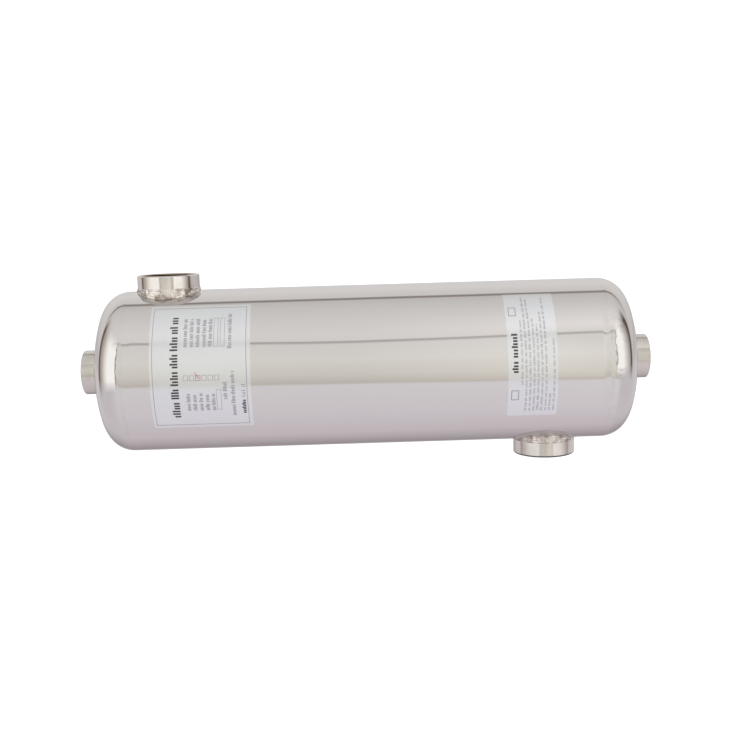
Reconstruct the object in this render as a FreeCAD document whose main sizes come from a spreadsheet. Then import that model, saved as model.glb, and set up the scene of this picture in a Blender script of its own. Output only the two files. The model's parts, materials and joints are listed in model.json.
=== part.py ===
"""Shell and tube heat exchanger, welded from stainless steel.

A round shell with two dished heads lies along X. Two large threaded nozzles open
straight up and straight down near its ends, and a smaller threaded socket sits in
the middle of each head. Inside are two tube sheets, seven rows of straight tubes,
four baffles and the four rods that carry them.

Millimetres. The origin is the middle of the bottom nozzle's end face, which is what
the exchanger stands on its pipe with; +X runs along the shell, from the top nozzle's
end to the bottom nozzle's end, and +Z is up.
"""
import FreeCAD, Part
import os

import Sketcher
from FreeCAD import Placement, Rotation, Vector

SIZES = {
    # shell and heads
    "shell_od": 140,
    "shell_length": 409,          # from tangent line to tangent line
    "shell_wall": 2,
    "head_wall": 2,
    "crown_radius": 160,          # outside of the dish
    "knuckle_radius": 23,         # outside of the turned edge
    "seam_inset": 1.8,            # middle of the girth weld, inside the tangent line
    "seam_top_width": 3,
    "seam_root_width": 1,
    # large threaded nozzles on the shell
    "nozzle_od": 53.6,
    "nozzle_bore": 44.84,         # crests of the internal thread
    "nozzle_length": 22,
    "nozzle_stand_out": 13.8,     # past the outside of the shell
    "top_nozzle_gap": 0.9,        # outside of the nozzle to its tube sheet
    "bottom_nozzle_gap": 14.4,
    "hole_clearance": 0.2,        # each side, between a fitting and its hole
    "nozzle_weld_rise": 0.9,      # weld above the crown of the shell
    "nozzle_weld_top": 0.9,       # weld's width at its upper edge
    "nozzle_weld_foot": 2.8,      # weld's width where it meets the side of the shell
    # smaller threaded sockets in the heads
    "socket_od": 38.7,
    "socket_bore": 30.3,
    "socket_length": 20,
    "socket_stand_out": 11.7,     # past the middle of the head
    "socket_weld_leg": 3,
    "mouth_chamfer": 1.3,
    "rim_chamfer": 0.5,
    # tube bundle
    "tube_od": 12.7,
    "tube_wall": 0.9,
    "tube_pitch": 16,
    "tube_end": 2,                # tube past the outer face of its sheet
    "tube_clearance": 0.1,        # each side, in a hole of a sheet or baffle
    "sheet_thickness": 5,
    "sheet_inset": 1.5,           # outer face of the sheet, inside the tangent line
    "disc_clearance": 0.15,       # each side, between a sheet or baffle and the shell
    "baffle_thickness": 2,
    "rod_diameter": 8,
    "rod_edge": 11,               # rod's axis to the inside of the shell
    "rod_end": 12,                # rod past the last baffle
    "nut_width": 13,
    "nut_height": 6.5,
    # labels stuck round the front of the shell
    "label_thickness": 0.15,
    "rating_label_inset": 26,     # edge of the label to the nearer tangent line
    "rating_label_width": 83,
    "rating_label_height": 113,   # round the shell
    "rating_label_middle": 10.75, # degrees above the level of the axis
    "notice_label_inset": 47.3,
    "notice_label_width": 41.2,
    "notice_label_height": 114,
    "notice_label_middle": 12.6,
}
TUBES_IN_ROW = [4, 5, 6, 7, 6, 5, 4]      # bottom row first: a hexagon of 37 tubes
BAFFLES = 4
RODS = 4

doc = FreeCAD.newDocument("heat_exchanger")
sheet = doc.addObject("Spreadsheet::Sheet", "Sizes")
for row, (alias, value) in enumerate(SIZES.items(), start=1):
    sheet.set(f"A{row}", alias)
    sheet.set(f"B{row}", str(value))
    sheet.setAlias(f"B{row}", alias)
doc.recompute()

# Lengths that follow from the sizes, as expressions.
SHELL_R = "Sizes.shell_od / 2"
SHELL_IN = f"({SHELL_R} - Sizes.shell_wall)"
AXIS_HEIGHT = f"({SHELL_R} + Sizes.nozzle_stand_out)"
NOZZLE_R = "Sizes.nozzle_od / 2"
SHEET_IN = "(Sizes.sheet_inset + Sizes.sheet_thickness)"
RIGHT_TANGENT = f"({SHEET_IN} + Sizes.bottom_nozzle_gap + {NOZZLE_R})"
LEFT_TANGENT = f"({RIGHT_TANGENT} - Sizes.shell_length)"
TOP_NOZZLE = f"({LEFT_TANGENT} + {SHEET_IN} + Sizes.top_nozzle_gap + {NOZZLE_R})"
SOCKET_R = "Sizes.socket_od / 2"
ROW_RISE = "(Sizes.tube_pitch * sqrt(3) / 2)"
ROD_RADIUS = f"({SHELL_IN} - Sizes.rod_edge)"
# Middle of the crown's sphere and depth of the head, from the tangent plane.
CROWN_TO_KNUCKLE = "(Sizes.crown_radius - Sizes.knuckle_radius)"
KNUCKLE_CENTRE = f"({SHELL_R} - Sizes.knuckle_radius)"
CROWN_BACK = f"sqrt({CROWN_TO_KNUCKLE}^2 - {KNUCKLE_CENTRE}^2)"
HEAD_DEPTH = f"(Sizes.crown_radius - {CROWN_BACK})"

parts = []


def size(expression):
    """The value of an expression, in millimetres or degrees."""
    value = sheet.evalExpression(expression)
    return float(getattr(value, "Value", value))


def new_body(name, x="0", z=AXIS_HEIGHT, turn=Rotation()):
    """A sub-part whose own origin lies at x and z, turned in place."""
    body = doc.addObject("PartDesign::Body", name)
    body.Label = name
    body.Placement = Placement(Vector(), turn)
    body.setExpression("Placement.Base.x", x)
    body.setExpression("Placement.Base.z", z)
    parts.append(body)
    return body


def origin_feature(body, role):
    """One of the body's own planes or axes."""
    return next(f for f in body.Origin.OriginFeatures if f.Role == role)


def new_sketch(body, name, plane):
    sketch = body.newObject("Sketcher::SketchObject", f"{body.Name}_{name}")
    sketch.AttachmentSupport = [(origin_feature(body, plane), "")]
    sketch.MapMode = "FlatFace"
    return sketch


def bind(sketch, kind, places, expression):
    """Add a constraint whose value is an expression."""
    index = sketch.addConstraint(Sketcher.Constraint(kind, *places, size(expression)))
    sketch.setExpression(f"Constraints[{index}]", expression)


def bind_point(sketch, edge, end, x, y):
    """Hold one end of an edge at x and y from the sketch's origin."""
    for kind, value, axis in (("DistanceX", x, -2), ("DistanceY", y, -1)):
        if value == "0":
            sketch.addConstraint(Sketcher.Constraint("PointOnObject", edge, end, axis))
        else:
            bind(sketch, kind, (-1, 1, edge, end), value)


def arc_between(first, last, radius, side):
    """Arc from first to last, its centre to the left (side 1) or right (side -1)."""
    chord = last - first
    left = Vector(-chord.y, chord.x, 0).normalize()
    reach = (radius**2 - chord.Length**2 / 4) ** 0.5
    centre = (first + last) * 0.5 + left * (side * reach)
    circle = Part.Circle(centre, Vector(0, 0, 1), radius)
    ends = [circle.parameter(first), circle.parameter(last)]
    if side < 0:
        ends.reverse()
    return Part.ArcOfCircle(circle, *ends)


def outline(sketch, corners):
    """Closed outline. A corner is (x, y), or (x, y, radius, side) before an arc."""
    points = [Vector(size(corner[0]), size(corner[1]), 0) for corner in corners]
    ends = []
    for index, corner in enumerate(corners):
        first = points[index]
        last = points[(index + 1) % len(points)]
        if len(corner) == 2:
            edge = sketch.addGeometry(Part.LineSegment(first, last))
            ends.append((edge, 1, 2))
        else:
            arc = arc_between(first, last, size(corner[2]), corner[3])
            edge = sketch.addGeometry(arc)
            ends.append((edge, 1, 2) if corner[3] > 0 else (edge, 2, 1))
    for index, (edge, start, end) in enumerate(ends):
        after, after_start, after_end = ends[(index + 1) % len(ends)]
        joint = Sketcher.Constraint("Coincident", edge, end, after, after_start)
        sketch.addConstraint(joint)
        bind_point(sketch, edge, start, corners[index][0], corners[index][1])
    for (edge, start, end), corner in zip(ends, corners):
        if len(corner) == 4:
            bind(sketch, "Radius", (edge,), corner[2])


def circle(sketch, x, y, radius):
    centre = Vector(size(x), size(y), 0)
    edge = sketch.addGeometry(Part.Circle(centre, Vector(0, 0, 1), size(radius)))
    bind_point(sketch, edge, 3, x, y)
    bind(sketch, "Radius", (edge,), radius)


def add_feature(body, kind, name, profile):
    feature = body.newObject(f"PartDesign::{kind}", f"{body.Name}_{name}")
    feature.Profile = profile
    profile.Visibility = False
    return feature


def revolve(body, sketch, axis):
    """Turn the outline about the sketch's H_Axis or V_Axis."""
    feature = add_feature(body, "Revolution", "turned", sketch)
    feature.ReferenceAxis = (sketch, [axis])
    feature.Angle = 360
    doc.recompute()


def pad(body, name, sketch, length):
    feature = add_feature(body, "Pad", name, sketch)
    feature.setExpression("Length", length)
    doc.recompute()


def pocket(body, name, sketch, length, upward=False, both_ways=False):
    """Cut along the sketch's normal, and make sure that something was cut."""
    before = body.Shape.Volume
    feature = add_feature(body, "Pocket", name, sketch)
    feature.setExpression("Length", length)
    feature.Reversed = upward
    feature.Midplane = both_ways
    doc.recompute()
    if not body.Shape.Volume < before:
        raise RuntimeError(f"{feature.Name} cuts nothing")
    return feature


def make_shell():
    """Rolled tube, bevelled for the girth welds, with a hole for each nozzle."""
    middle = f"({LEFT_TANGENT} + {RIGHT_TANGENT}) / 2"
    body = new_body("shell_tube", x=middle)
    seam = "(Sizes.shell_length / 2 - Sizes.seam_inset)"
    bore_end = f"({seam} - Sizes.seam_root_width / 2)"
    skin_end = f"({seam} - Sizes.seam_top_width / 2)"
    profile = new_sketch(body, "wall", "XZ_Plane")
    outline(profile, [
        (f"-{bore_end}", SHELL_IN),
        (bore_end, SHELL_IN),
        (skin_end, SHELL_R),
        (f"-{skin_end}", SHELL_R),
    ])
    revolve(body, profile, "H_Axis")
    for name, nozzle, upward in (("top_hole", TOP_NOZZLE, True), ("bottom_hole", "0", False)):
        hole = new_sketch(body, f"{name}_circle", "XY_Plane")
        circle(hole, f"{nozzle} - {middle}", "0", f"{NOZZLE_R} + Sizes.hole_clearance")
        pocket(body, name, hole, f"{SHELL_R} + 1", upward=upward)


def make_girth_weld(name, tangent, inward):
    """V-shaped weld, ground flush outside, between the shell and a head."""
    body = new_body(name, x=f"{tangent} + {inward} * Sizes.seam_inset")
    profile = new_sketch(body, "bead", "XZ_Plane")
    outline(profile, [
        ("-Sizes.seam_root_width / 2", SHELL_IN),
        ("Sizes.seam_root_width / 2", SHELL_IN),
        ("Sizes.seam_top_width / 2", SHELL_R),
        ("-Sizes.seam_top_width / 2", SHELL_R),
    ])
    revolve(body, profile, "H_Axis")


def crown_x(radius_from_axis, crown="Sizes.crown_radius"):
    """Where a crown's sphere stands over a point this far from the axis."""
    return f"(sqrt({crown}^2 - ({radius_from_axis})^2) - {CROWN_BACK})"


def make_head(name, tangent, turn):
    """Dished head, pressed from plate, with a hole for the end socket."""
    body = new_body(name, x=tangent, turn=turn)
    wall = "Sizes.head_wall"
    inner_crown = f"(Sizes.crown_radius - {wall})"
    inner_knuckle = f"(Sizes.knuckle_radius - {wall})"
    hole = f"({SOCKET_R} + Sizes.hole_clearance)"
    # Where crown and knuckle meet, on the line through the centres of their arcs.
    along = f"({CROWN_BACK} / {CROWN_TO_KNUCKLE})"
    across = f"({KNUCKLE_CENTRE} / {CROWN_TO_KNUCKLE})"
    profile = new_sketch(body, "dish", "XZ_Plane")
    outline(profile, [
        ("Sizes.seam_root_width / 2 - Sizes.seam_inset", f"{SHELL_R} - {wall}"),
        ("0", f"{SHELL_R} - {wall}", inner_knuckle, -1),
        (f"{inner_crown} * {along} - {CROWN_BACK}", f"{inner_crown} * {across}", inner_crown, -1),
        (crown_x(hole, inner_crown), hole),
        (crown_x(hole), hole, "Sizes.crown_radius", 1),
        (f"Sizes.crown_radius * {along} - {CROWN_BACK}", f"Sizes.crown_radius * {across}",
         "Sizes.knuckle_radius", 1),
        ("0", SHELL_R),
        ("Sizes.seam_top_width / 2 - Sizes.seam_inset", SHELL_R),
    ])
    revolve(body, profile, "H_Axis")


def make_fitting(name, diameter, bore, length, x, z, turn):
    """Turned fitting along its own Z: a threaded bore with a chamfered mouth."""
    body = new_body(name, x=x, z=z, turn=turn)
    profile = new_sketch(body, "wall", "XZ_Plane")
    outline(profile, [
        (f"{bore} / 2", "0"),
        (f"{diameter} / 2", "0"),
        (f"{diameter} / 2", f"{length} - Sizes.rim_chamfer"),
        (f"{diameter} / 2 - Sizes.rim_chamfer", length),
        (f"{bore} / 2 + Sizes.mouth_chamfer", length),
        (f"{bore} / 2", f"{length} - Sizes.mouth_chamfer"),
    ])
    revolve(body, profile, "V_Axis")


def make_nozzle_weld(name, x, turn):
    """Fillet round a nozzle: level on top, and down to the round of the shell."""
    body = new_body(name, x=x, turn=turn)
    foot_radius = f"({NOZZLE_R} + Sizes.nozzle_weld_foot)"
    foot_height = f"sqrt(({SHELL_R})^2 - {foot_radius}^2)"
    profile = new_sketch(body, "bead", "XZ_Plane")
    outline(profile, [
        (NOZZLE_R, foot_height),
        (foot_radius, foot_height),
        (f"{NOZZLE_R} + Sizes.nozzle_weld_top", f"{SHELL_R} + Sizes.nozzle_weld_rise"),
        (NOZZLE_R, f"{SHELL_R} + Sizes.nozzle_weld_rise"),
    ])
    revolve(body, profile, "V_Axis")
    saddle = new_sketch(body, "saddle_circle", "YZ_Plane")
    circle(saddle, "0", "0", SHELL_R)
    pocket(body, "saddle", saddle, "Sizes.shell_od", both_ways=True)


def make_socket_weld(name, tangent, turn):
    """Fillet between an end socket and the crown of its head."""
    body = new_body(name, x=tangent, turn=turn)
    leg = "Sizes.socket_weld_leg"
    profile = new_sketch(body, "bead", "XZ_Plane")
    outline(profile, [
        (crown_x(SOCKET_R), SOCKET_R),
        (f"{crown_x(SOCKET_R)} + {leg}", SOCKET_R),
        (crown_x(f"{SOCKET_R} + {leg}"), f"{SOCKET_R} + {leg}", "Sizes.crown_radius", 1),
    ])
    revolve(body, profile, "H_Axis")


def drill_for_tubes(body):
    """A hexagon of holes: six of a sixth, repeated round, and the middle one."""
    hole = "Sizes.tube_od / 2 + Sizes.tube_clearance"
    through = "Sizes.sheet_thickness + Sizes.baffle_thickness"
    sixth = new_sketch(body, "sixth_circles", "YZ_Plane")
    for ring in (1, 2, 3):
        for step in range(ring):
            circle(sixth, f"(2 * {ring} - {step}) * Sizes.tube_pitch / 2",
                   "0" if step == 0 else f"{step} * {ROW_RISE}", hole)
    drilled = pocket(body, "sixth_holes", sixth, through, upward=True)
    pattern = body.newObject("PartDesign::PolarPattern", f"{body.Name}_hexagon")
    pattern.Originals = [drilled]
    pattern.Axis = (sixth, ["N_Axis"])
    pattern.Angle = 360
    pattern.Occurrences = 6
    body.Tip = pattern
    doc.recompute()
    middle = new_sketch(body, "middle_circle", "YZ_Plane")
    circle(middle, "0", "0", hole)
    pocket(body, "middle_hole", middle, through, upward=True)


def new_disc(name, x, thickness):
    """Round plate inside the shell, drilled for the tubes, from x towards +X."""
    body = new_body(name, x=x)
    rim = new_sketch(body, "rim", "YZ_Plane")
    circle(rim, "0", "0", f"{SHELL_IN} - Sizes.disc_clearance")
    pad(body, "plate", rim, thickness)
    drill_for_tubes(body)
    return body


def rod_place(number):
    """Across and up from the shell's axis: the rods stand outside four flats."""
    across = "cos(30)" if number in (0, 3) else "-cos(30)"
    up = "sin(30)" if number < 2 else "-sin(30)"
    return f"{ROD_RADIUS} * {across}", f"{ROD_RADIUS} * {up}"


def baffle_x(number):
    """Baffles share the length between the two nozzles evenly."""
    return f"({TOP_NOZZLE} * (1 - {number} / {BAFFLES + 1}))"


def make_baffle(number):
    """Plate with a window of its top or bottom cut off, level with a row gap."""
    thickness = "Sizes.baffle_thickness"
    body = new_disc(f"baffle_{number}", f"{baffle_x(number)} - {thickness} / 2", thickness)
    rods = new_sketch(body, "rod_circles", "YZ_Plane")
    for rod in range(RODS):
        circle(rods, *rod_place(rod), "Sizes.rod_diameter / 2 + Sizes.tube_clearance")
    pocket(body, "rod_holes", rods, thickness, upward=True)
    up = 1 if number % 2 == 0 else -1
    edge = f"{up} * 2.5 * {ROW_RISE}"
    end = f"{up} * {SHELL_R}"
    window = new_sketch(body, "window_outline", "YZ_Plane")
    outline(window, [
        (f"-{SHELL_R}", edge),
        (SHELL_R, edge),
        (SHELL_R, end),
        (f"-{SHELL_R}", end),
    ])
    pocket(body, "window", window, thickness, upward=True)


def make_tube_row(row, count):
    """One level row of tubes, through both sheets."""
    start = f"{LEFT_TANGENT} + Sizes.sheet_inset - Sizes.tube_end"
    level = f"{AXIS_HEIGHT} + ({row} - {(len(TUBES_IN_ROW) + 1) // 2}) * {ROW_RISE}"
    body = new_body(f"tube_row_{row}", x=start, z=level)
    body.AllowCompound = True
    ring = new_sketch(body, "ring", "YZ_Plane")
    first = f"{count - 1} * Sizes.tube_pitch / 2"
    circle(ring, f"-{first}", "0", "Sizes.tube_od / 2")
    circle(ring, f"-{first}", "0", "Sizes.tube_od / 2 - Sizes.tube_wall")
    pad(body, "tube", ring,
        "Sizes.shell_length - 2 * Sizes.sheet_inset + 2 * Sizes.tube_end")
    pattern = body.newObject("PartDesign::LinearPattern", f"{body.Name}_row")
    pattern.Originals = [body.Tip]
    pattern.Direction = (ring, ["H_Axis"])
    pattern.setExpression("Length", f"2 * {first}")
    pattern.Occurrences = count
    body.Tip = pattern
    doc.recompute()


def make_rod(number):
    """Tie rod from the left sheet through the baffles, with a nut on its end."""
    start = f"({LEFT_TANGENT} + {SHEET_IN})"
    length = f"({baffle_x(BAFFLES)} + Sizes.baffle_thickness / 2 + Sizes.rod_end - {start})"
    across, up = rod_place(number)
    body = new_body(f"tie_rod_{number + 1}", x=start, z=f"{AXIS_HEIGHT} + {up}")
    body.setExpression("Placement.Base.y", across)
    bar = new_sketch(body, "bar_circle", "YZ_Plane")
    circle(bar, "0", "0", "Sizes.rod_diameter / 2")
    pad(body, "bar", bar, length)
    flats = new_sketch(body, "nut_hexagon", "YZ_Plane")
    flats.setExpression("AttachmentOffset.Base.z",
                        f"{length} - Sizes.rod_end + Sizes.tube_clearance")
    half = "Sizes.nut_width / 2"
    side = f"({half} / sqrt(3))"
    outline(flats, [
        (f"2 * {side}", "0"),
        (side, half),
        (f"-{side}", half),
        (f"-2 * {side}", "0"),
        (f"-{side}", f"-{half}"),
        (side, f"-{half}"),
    ])
    pad(body, "nut", flats, "Sizes.nut_height")


def make_label(name, left_edge):
    """Printed film stuck round the front of the shell."""
    body = new_body(name, x=left_edge)
    face = f"({SHELL_R} + Sizes.label_thickness)"
    half_turn = f"Sizes.{name}_height / ({SHELL_R}) * 90 / pi"
    top = f"(Sizes.{name}_middle + {half_turn})"
    foot = f"(Sizes.{name}_middle - {half_turn})"
    profile = new_sketch(body, "section", "YZ_Plane")
    outline(profile, [
        (f"-{SHELL_R} * cos({top})", f"{SHELL_R} * sin({top})"),
        (f"-{face} * cos({top})", f"{face} * sin({top})", face, 1),
        (f"-{face} * cos({foot})", f"{face} * sin({foot})"),
        (f"-{SHELL_R} * cos({foot})", f"{SHELL_R} * sin({foot})", SHELL_R, -1),
    ])
    pad(body, "film", profile, f"Sizes.{name}_width")


def make_pieces():
    ahead = Rotation()
    back = Rotation(Vector(0, 0, 1), 180)
    down = Rotation(Vector(1, 0, 0), 180)
    right = Rotation(Vector(0, 1, 0), 90)
    left = Rotation(Vector(0, 1, 0), -90)
    make_shell()
    make_head("left_head", LEFT_TANGENT, back)
    make_head("right_head", RIGHT_TANGENT, ahead)
    make_girth_weld("left_girth_weld", LEFT_TANGENT, 1)
    make_girth_weld("right_girth_weld", RIGHT_TANGENT, -1)

    nozzle = ("Sizes.nozzle_od", "Sizes.nozzle_bore", "Sizes.nozzle_length")
    top_start = f"2 * {AXIS_HEIGHT} - Sizes.nozzle_length"
    make_fitting("top_nozzle", *nozzle, x=TOP_NOZZLE, z=top_start, turn=ahead)
    make_fitting("bottom_nozzle", *nozzle, x="0", z="Sizes.nozzle_length", turn=down)
    make_nozzle_weld("top_nozzle_weld", TOP_NOZZLE, ahead)
    make_nozzle_weld("bottom_nozzle_weld", "0", down)

    socket = ("Sizes.socket_od", "Sizes.socket_bore", "Sizes.socket_length")
    past = f"({HEAD_DEPTH} + Sizes.socket_stand_out - Sizes.socket_length)"
    make_fitting("left_end_socket", *socket, x=f"{LEFT_TANGENT} - {past}", z=AXIS_HEIGHT,
                 turn=left)
    make_fitting("right_end_socket", *socket, x=f"{RIGHT_TANGENT} + {past}", z=AXIS_HEIGHT,
                 turn=right)
    make_socket_weld("left_socket_weld", LEFT_TANGENT, back)
    make_socket_weld("right_socket_weld", RIGHT_TANGENT, ahead)

    thickness = "Sizes.sheet_thickness"
    new_disc("left_tube_sheet", f"{LEFT_TANGENT} + Sizes.sheet_inset", thickness)
    new_disc("right_tube_sheet", f"{RIGHT_TANGENT} - {SHEET_IN}", thickness)
    for row, count in enumerate(TUBES_IN_ROW, start=1):
        make_tube_row(row, count)
    for number in range(1, BAFFLES + 1):
        make_baffle(number)
    for number in range(RODS):
        make_rod(number)
    make_label("rating_label", f"{LEFT_TANGENT} + Sizes.rating_label_inset")
    make_label("notice_label",
               f"{RIGHT_TANGENT} - Sizes.notice_label_inset - Sizes.notice_label_width")


def check_document():
    """Stop at anything that failed to compute, before a file is written."""
    for thing in doc.Objects:
        if "Invalid" in thing.State or "Error" in thing.State:
            raise RuntimeError(f"{thing.Name} is {thing.State}")
    for part in parts:
        if part.Shape.isNull() or not part.Shape.isValid():
            raise RuntimeError(f"{part.Label} has no valid shape")


def write_parts():
    os.makedirs("parts", exist_ok=True)
    for part in parts:
        part.Shape.exportStep(f"parts/{part.Label}.step")
        box = part.Shape.BoundBox
        print(f"{part.Label:20s} solids {len(part.Shape.Solids)}  volume {part.Shape.Volume:10.1f}"
              f"  x {box.XMin:8.2f} {box.XMax:8.2f}  y {box.YMin:7.2f} {box.YMax:7.2f}"
              f"  z {box.ZMin:7.2f} {box.ZMax:7.2f}")


make_pieces()
doc.recompute()
check_document()
write_parts()
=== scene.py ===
"""Looks of the shell and tube heat exchanger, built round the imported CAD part.

Metres, in the part's own frame: the origin is the middle of the bottom nozzle's end
face, +X runs along the shell and +Z is up. The camera stands in front, at -Y.
"""
import json
import math
import random

import bpy
from mathutils import Matrix, Vector

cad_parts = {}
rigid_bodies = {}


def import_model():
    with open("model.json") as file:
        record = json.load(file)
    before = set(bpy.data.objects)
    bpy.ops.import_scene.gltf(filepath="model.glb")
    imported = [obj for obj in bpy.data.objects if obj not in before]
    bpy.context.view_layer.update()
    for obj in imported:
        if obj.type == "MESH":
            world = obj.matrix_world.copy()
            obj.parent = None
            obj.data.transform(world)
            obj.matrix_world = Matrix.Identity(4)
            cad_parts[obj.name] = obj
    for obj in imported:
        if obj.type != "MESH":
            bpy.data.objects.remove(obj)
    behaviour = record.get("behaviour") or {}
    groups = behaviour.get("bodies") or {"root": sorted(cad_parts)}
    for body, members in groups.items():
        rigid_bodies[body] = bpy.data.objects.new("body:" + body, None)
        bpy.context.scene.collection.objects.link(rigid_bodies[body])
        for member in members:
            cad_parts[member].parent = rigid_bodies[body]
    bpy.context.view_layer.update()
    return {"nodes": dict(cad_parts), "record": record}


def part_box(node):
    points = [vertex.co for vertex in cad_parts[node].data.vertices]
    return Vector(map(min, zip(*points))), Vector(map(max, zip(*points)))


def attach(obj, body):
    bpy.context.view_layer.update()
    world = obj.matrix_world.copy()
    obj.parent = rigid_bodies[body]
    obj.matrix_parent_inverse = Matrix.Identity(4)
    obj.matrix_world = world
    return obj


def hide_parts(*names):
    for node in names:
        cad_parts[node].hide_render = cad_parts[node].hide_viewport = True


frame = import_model()

MM = 0.001
ALONG = Vector((1, 0, 0))
UP = Vector((0, 0, 1))

# Places taken from the frame.
shell_low, shell_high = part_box("shell_tube")
SHELL_RADIUS = (shell_high.z - shell_low.z) / 2
AXIS_Z = (shell_high.z + shell_low.z) / 2
SHELL_MIDDLE = (shell_low.x + shell_high.x) / 2
NOZZLE_PLACES = [sum(corner.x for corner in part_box(name)) / 2
                 for name in ("top_nozzle", "bottom_nozzle")]
SEAMS = [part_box(name) for name in ("left_girth_weld", "right_girth_weld")]
SEAM_PLACES = [(low.x + high.x) / 2 for low, high in SEAMS]

# The girth welds drew the sheet beside them out of true. How hard each pulled, and how far
# to the right of it the pull is greatest.
SEAM_PULLS = [(0.25, -2 * MM), (1.15, 3 * MM)]
PUCKER_REACH = 11 * MM
PUCKER_WIDTH = 11 * MM
PUCKER_DEPTH = 0.9 * MM
# Between these heights it fades, as the sheet was dressed smooth again over the top.
PUCKER_FADE = (AXIS_Z + 34 * MM, AXIS_Z + 52 * MM)

# Sizes of the threaded ports: 11 threads an inch, as on any gas or water fitting.
NOZZLE_BORE = 44.84 * MM
SOCKET_BORE = 30.3 * MM
THREAD_PITCH = 2.309 * MM
THREAD_DEPTH = 1.48 * MM
GROOVE_MOUTH = 0.46      # half the groove's width at the bore, in pitches
GROOVE_ROOT = 0.07       # half its width at the root
CUTTER_INSET = 0.2 * MM  # of the cutter inside the bore
MOUTH_CHAMFER = 1.3 * MM
RIM_CHAMFER = 0.7 * MM
EDGE_BREAK = 0.12 * MM   # the turner takes the sharpness off every corner
EDGE_HOLD = 0.4 * MM     # from an edge to the corner that keeps the long face beside it flat
ROUND_STEPS = 128
THREAD_STEPS = 72
OIL_HEIGHT = 0.9 * MM    # height of the painted shade line, up the rim of the bottom nozzle
OIL_EDGE = 0.3 * MM      # past the thread's root, where the painted brown reflection fades
RING_GAP = 0.7 * MM      # between the tool marks that are drawn
WAVE_GAP = 0.314         # between a wave texture's rings at a scale of 1

# The puddles that a weld bead is laid from.
PUDDLE_PITCH = 1.9 * MM
COURSE_HEIGHT = 1.7 * MM
NOZZLE_PUDDLE = (1.3 * MM, 1.5 * MM, 1.3 * MM)
SOCKET_PUDDLE = (1.4 * MM, 1.5 * MM, 1.3 * MM)
PUDDLE_SWELL = 0.13      # the most that one is larger or smaller
PUDDLE_WANDER = 0.15     # the most that one is out of line, in millimetres
FIRST_LEAN = -0.1        # of the first course off the nozzle's wall, in millimetres
COURSE_LEAN = -0.5       # and how much further in the last course is
# How far each nozzle's bead reaches past the shell's highest or lowest line.
TOP_BEAD_CLEAR = 1.9 * MM
BOTTOM_BEAD_CLEAR = 0.3 * MM
SOCKET_BEAD_OUT = 0.4 * MM     # middle of the bead, outside of the socket
SOCKET_BEAD_INSET = 0.5 * MM   # middle of the bead, from where the plain weld meets the head
BEAD_VOXEL = 0.33 * MM
BEAD_SMOOTHING = 16

# Corners closer than this are one corner, and after the thread is cut, closer than a sliver.
SAME_CORNER = MM / 1000
SLIVER = MM / 200

# Where the film of each label lies.
FILM_RADIUS = SHELL_RADIUS + 0.15 * MM
INK_BUILD = 0.05 * MM
RATING_TURN = math.radians(10.75)
NOTICE_TURN = math.radians(12.6)

FLOOR_LEVEL = -0.45      # below the end of the bottom nozzle


# Materials.

def linear(hex_colour):
    """An sRGB hex colour as linear red, green, blue and a full alpha."""
    parts = [int(hex_colour[i:i + 2], 16) / 255 for i in (1, 3, 5)]
    return [c / 12.92 if c <= 0.04045 else ((c + 0.055) / 1.055) ** 2.4 for c in parts] + [1]


def add_node(tree, kind, links=None, **settings):
    """Add a node. Settings are its properties, and links its inputs by name or number."""
    node = tree.nodes.new(kind)
    for name, value in settings.items():
        setattr(node, name, value)
    for key, value in (links or {}).items():
        if isinstance(value, bpy.types.NodeSocket):
            tree.links.new(value, node.inputs[key])
        else:
            node.inputs[key].default_value = value
    return node


def set_stops(ramp, stops):
    """Give a colour ramp its stops, each a place from 0 to 1 and a linear colour."""
    elements = ramp.color_ramp.elements
    elements[0].position = 0
    elements[1].position = 1
    for place, _ in stops[1:-1]:
        elements.new(place)
    for element, (_, colour) in zip(elements, stops):
        element.color = colour


def new_material(name, **constants):
    """A material with a Principled surface: itself, its tree and its shader."""
    material = bpy.data.materials.new(name)
    material.use_nodes = True
    tree = material.node_tree
    shader = tree.nodes["Principled BSDF"]
    for socket, value in constants.items():
        shader.inputs[socket.replace("_", " ")].default_value = value
    return material, tree, shader


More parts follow.
